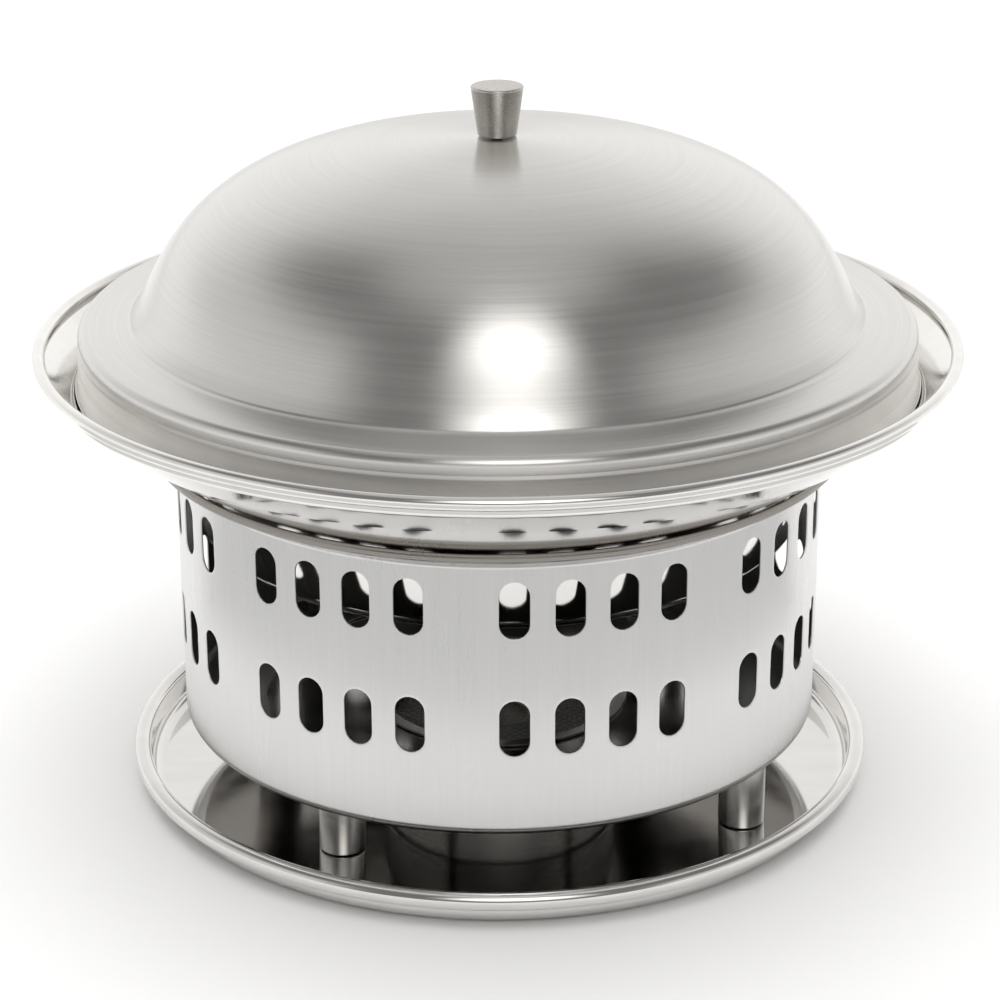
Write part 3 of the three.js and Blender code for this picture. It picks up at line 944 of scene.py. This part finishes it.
class POT_OT_pan(bpy.types.Operator):
    """Presses the pan: flat base, deep side, broad shelf, flared band and rolled rim"""

    bl_idname = "pot.pan"
    bl_label = "Pan"

    def execute(self, context):
        sizes, steel = context.scene.pot_sizes, context.scene.pot_steel
        sheet = sizes.pan_sheet
        bottom, top, rim = extent("pan")
        bead = 2.0 * MM
        bead_x, bead_z = rim - bead, top - bead
        clearance, shelf, band = 0.3 * MM, 22.8 * MM, 11.1 * MM
        lip = Vector((outer_radius("stove_drum") - DRUM_HEM, high("stove_drum").z - DRUM_HEM))
        slope, flare = radians(33.2), radians(38.6)
        along = Vector((cos(slope), sin(slope)))
        seat = lip + Vector((-along.y, along.x)) * (DRUM_HEM + clearance + sheet / 2)
        shelf_end = seat + along * (shelf / along.x)
        flare_end = shelf_end + Vector((1.0, sin(flare) / cos(flare))) * band
        neck = lip.x - DRUM_FLARE - sheet / 2 - 1.2 * MM
        neck_z = seat.y + (neck - seat.x) / along.x * along.y
        base_x, corner = 85.6 * MM, 6.5 * MM
        floor = bottom + sheet / 2
        turn_in = arc(base_x, floor + corner, corner, -90, -15, 10)
        upper = filleted([turn_in[-1], (neck - 0.3 * MM, neck_z - 1.0 * MM), seat + along * 6 * MM,
                          shelf_end, flare_end, (bead_x - 0.2 * MM, bead_z)],
                         [2.2 * MM, 0.0, 4.0 * MM, 2.4 * MM], 6)
        middle = [*path((0, floor), (50 * MM, floor)), *turn_in[:-1], *upper]
        inner, outer = sheet_section(middle, sheet)
        roll = arc(bead_x, bead_z, bead, 170, -70, 26)
        section = [*outer[:-1], *reversed(roll), *reversed(inner[:-1])]
        material = polished_steel("pan_polish", tuple(steel.pan_colour), 0.09)
        turned_piece("pan_pressing", section, 288, "pan_body", ["pan"], material,
                     closed=False)
        return {"FINISHED"}


# ---------------------------------------------------------------- lid


class POT_OT_lid(bpy.types.Operator):
    """Presses the lid: hemmed skirt, ledge and a full dome"""

    bl_idname = "pot.lid"
    bl_label = "Lid"

    def execute(self, context):
        sizes, steel = context.scene.pot_sizes, context.scene.pot_steel
        sheet = sizes.lid_sheet
        hem = 0.8 * MM
        seat = Vector((outer_radius("lid") - hem, low("lid").z + hem))
        crown = high("lid").z - sheet / 2
        ledge = Vector((seat.x - 1.2 * MM, seat.y + 17.4 * MM))
        foot = Vector((ledge.x - 15.4 * MM, ledge.y + 1.7 * MM))
        side, reach, flat = radians(54), foot.x * 0.18, foot.x * 0.88
        ends = (foot, foot + Vector((-cos(side), sin(side))) * reach, *path((flat, crown), (0, crown)))
        spans, dome = 60, []
        for i in range(spans + 1):
            t = (i / spans) ** 0.9
            shares = ((1 - t) ** 3, 3 * t * (1 - t) ** 2, 3 * t * t * (1 - t), t ** 3)
            dome.append(sum((end * share for end, share in zip(ends, shares)), Vector((0, 0))))
        step = seat + (ledge - seat) * 0.72
        skirt = filleted([seat, step + Vector((0.02, -0.5)) * MM, step + Vector((-0.16, 0.5)) * MM,
                          ledge, foot + Vector((1.8, -0.5)) * MM, foot, dome[3]],
                         [0.9 * MM, 0.9 * MM, 3.4 * MM, 6.0 * MM, 2.6 * MM], 9)
        middle = [*skirt, *dome[4:]]
        outer, inner = sheet_section(middle, sheet)
        hem_ring = arc(seat.x, seat.y, hem, 60, -240, 18)
        hole = 1.8 * MM
        outer = [p for p in outer if p.x > hole] + path((hole, crown + sheet / 2))
        inner = [p for p in inner if p.x > hole] + path((hole, crown - sheet / 2))
        section = [*reversed(outer[1:]), *hem_ring, *inner[1:], outer[-1]]
        material = grained_steel("lid_satin", tuple(steel.lid_colour), steel.lid_roughness, "round",
                                 spread=0.8)
        turned_piece("lid_pressing", section, 288, "lid_body", ["lid"], material,
                     closed=False)
        return {"FINISHED"}


class POT_OT_knob(bpy.types.Operator):
    """Turns the knob: a tapered, bead-blasted grip with a bevelled top"""

    bl_idname = "pot.knob"
    bl_label = "Knob"

    def execute(self, context):
        steel = context.scene.pot_steel
        base, top, radius = extent("lid_knob")
        foot, bevel, bore, dip = 5.8 * MM, 0.6 * MM, 1.8 * MM, 0.05 * MM
        section = [*path((0, base + 9.3 * MM), (bore, base + 8.9 * MM), (bore, base),
                         (foot - 0.3 * MM, base), (foot, base + 0.25 * MM),
                         (foot + 0.3 * (radius - foot), base + 0.3 * (top - base)),
                         (radius - 0.05 * MM, top - bevel - 0.1 * MM)),
                   *arc(radius - bevel, top - bevel, bevel, 0, 90, 6),
                   *path((radius * 0.5, top - dip), (0, top - 2 * dip))]
        material = blasted_steel("knob_blasted", tuple(steel.knob_colour), 0.3)
        turned_piece("lid_knob_turning", section, 96, "lid_body", ["lid_knob"], material,
                     closed=False)
        return {"FINISHED"}


# ---------------------------------------------------------------- stage


def paper_sheet(name, bm, rgb):
    """Makes a flat sheet of paper that belongs to the stage."""
    mesh = bpy.data.meshes.new(name)
    bm.to_mesh(mesh)
    bm.free()
    mesh.materials.append(floor_paper(f"{name}_paper", rgb))
    sheet = linked(name, mesh)
    return sheet


def apron(rgb, near, far, spread):
    """A grey sheet on the floor, outside the camera's frame, that the drum mirrors."""
    bm = bmesh.new()
    steps = 48
    turns = [spread * (2 * i / steps - 1) for i in range(steps + 1)]
    inner, outer = ([bm.verts.new((radius * sin(a), -radius * cos(a), 0.5 * MM)) for a in turns]
                    for radius in (near, far))
    for i in range(steps):
        bm.faces.new([outer[i], outer[i + 1], inner[i + 1], inner[i]])
    sheet = paper_sheet("apron", bm, rgb)
    sheet.visible_camera = sheet.visible_diffuse = sheet.visible_shadow = False


class POT_OT_stage(bpy.types.Operator):
    """Sets the pale floor, the soft lights and the camera"""

    bl_idname = "pot.stage"
    bl_label = "Stage"

    def execute(self, context):
        stage = context.scene.pot_stage
        self.floor(tuple(stage.floor_colour))
        apron(tuple(stage.apron_colour), near=0.22, far=0.9, spread=radians(106))
        self.lights(stage)
        self.camera(context.scene, stage)
        context.scene.view_settings.view_transform = "Standard"
        return {"FINISHED"}

    def floor(self, rgb):
        """A broad disc of pale paper."""
        bm = bmesh.new()
        bmesh.ops.create_circle(bm, cap_ends=True, segments=96, radius=6.0)
        paper_sheet("floor", bm, rgb).location.z = -0.2 * MM

    def lights(self, stage):
        """The studio surround that the steel mirrors, and a fill light for the floor.

        climb is a direction's angle above the horizon, and around its turn from the front.
        """
        world = bpy.data.worlds.new("studio_surround")
        world.use_nodes = True
        n = Nodes(tree=world.node_tree)
        spot = n.add("ShaderNodeTexCoord").outputs["Generated"]
        split = n.add("ShaderNodeSeparateXYZ")
        n.feed(split.inputs[0], spot)
        x, y, z = split.outputs
        climb = n.maths("ARCSINE", z)
        around = n.maths("ARCTAN2", x, n.times(y, -1.0))
        turned = n.maths("ABSOLUTE", around)
        window_turn = n.maths("ABSOLUTE", n.maths("SUBTRACT", around, radians(6)))
        walls = n.times(n.opposite(n.ease(turned, 112, 158)), n.opposite(n.ease(climb, 58, 84)))
        walls = n.times(walls, n.ease(climb, 6, 18))
        leaning = n.maths("ADD", climb, n.times(x, 0.12))
        skirting = n.times(n.ease(turned, 36, 64), n.opposite(n.ease(leaning, 27, 49)))
        walls = n.times(walls, n.opposite(n.times(skirting, 0.62)))
        pane = n.times(n.ease(climb, 23, 49), n.opposite(n.ease(climb, 48, 76)))
        window = n.times(n.opposite(n.ease(window_turn, 3, 33)), pane)
        ground = n.mix(n.ease(climb, 14, 72), stage.low_light, stage.high_light)
        upright = n.mix(n.ease(climb, 60, 84), stage.wall_light, stage.high_light)
        shade = n.mix(walls, ground, upright)
        level = n.maths("ADD", shade, n.times(window, stage.window_light))
        background = world.node_tree.nodes["Background"]
        background.inputs[0].default_value = (1.0, 0.99, 0.972, 1.0)
        n.feed(background.inputs[1], level)
        bpy.context.scene.world = world
        data = bpy.data.lights.new("floor_fill", "AREA")
        data.size, data.energy = 4.0, stage.floor_power
        fill = linked("floor_fill", data)
        fill.location.z = 3.0
        fill.visible_camera = fill.visible_glossy = False

    def camera(self, scene, stage):
        """The camera in front of the pot, a little above it."""
        data = bpy.data.cameras.new("camera")
        data.lens = stage.lens
        data.sensor_width = 36.0
        data.clip_start, data.clip_end = 0.05, 50.0
        camera = linked("camera", data)
        place = Matrix.Translation((0, -stage.camera_distance, stage.camera_height))
        turns = ((stage.camera_yaw, "Z"), (stage.camera_pitch, "X"), (stage.camera_roll, "Z"))
        for amount, axis in turns:
            place = place @ Matrix.Rotation(amount, 4, axis)
        camera.matrix_world = place
        scene.camera = camera


# ---------------------------------------------------------------- panel and registration

STEPS = (POT_OT_drip_tray, POT_OT_stove_drum, POT_OT_base_plate, POT_OT_feet, POT_OT_fasteners,
         POT_OT_burner, POT_OT_pan, POT_OT_lid, POT_OT_knob, POT_OT_stage)


class POT_PT_panel(bpy.types.Panel):
    """Lists the pot's settings and building steps"""

    bl_idname = "POT_PT_panel"
    bl_label = "Burner Pot"
    bl_space_type = "VIEW_3D"
    bl_region_type = "UI"
    bl_category = "Burner Pot"

    def draw(self, context):
        for step in STEPS:
            self.layout.operator(step.bl_idname)
        for group in (context.scene.pot_sizes, context.scene.pot_steel, context.scene.pot_stage):
            box = self.layout.box()
            for key in group.__annotations__:
                box.prop(group, key)


CLASSES = (PotSteel, PotSizes, PotStage, *STEPS, POT_PT_panel)


def register():
    """Registers the classes and hangs the settings on the scene."""
    for item in CLASSES:
        bpy.utils.register_class(item)
    bpy.types.Scene.pot_steel = bpy.props.PointerProperty(type=PotSteel)
    bpy.types.Scene.pot_sizes = bpy.props.PointerProperty(type=PotSizes)
    bpy.types.Scene.pot_stage = bpy.props.PointerProperty(type=PotStage)


def unregister():
    """Takes the settings and classes away again."""
    del bpy.types.Scene.pot_stage
    del bpy.types.Scene.pot_sizes
    del bpy.types.Scene.pot_steel
    for item in reversed(CLASSES):
        bpy.utils.unregister_class(item)


def main():
    """Registers the add-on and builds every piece."""
    register()
    for step in STEPS:
        group, name = step.bl_idname.split(".")
        getattr(getattr(bpy.ops, group), name)()


if __name__ == "__main__":
    main()
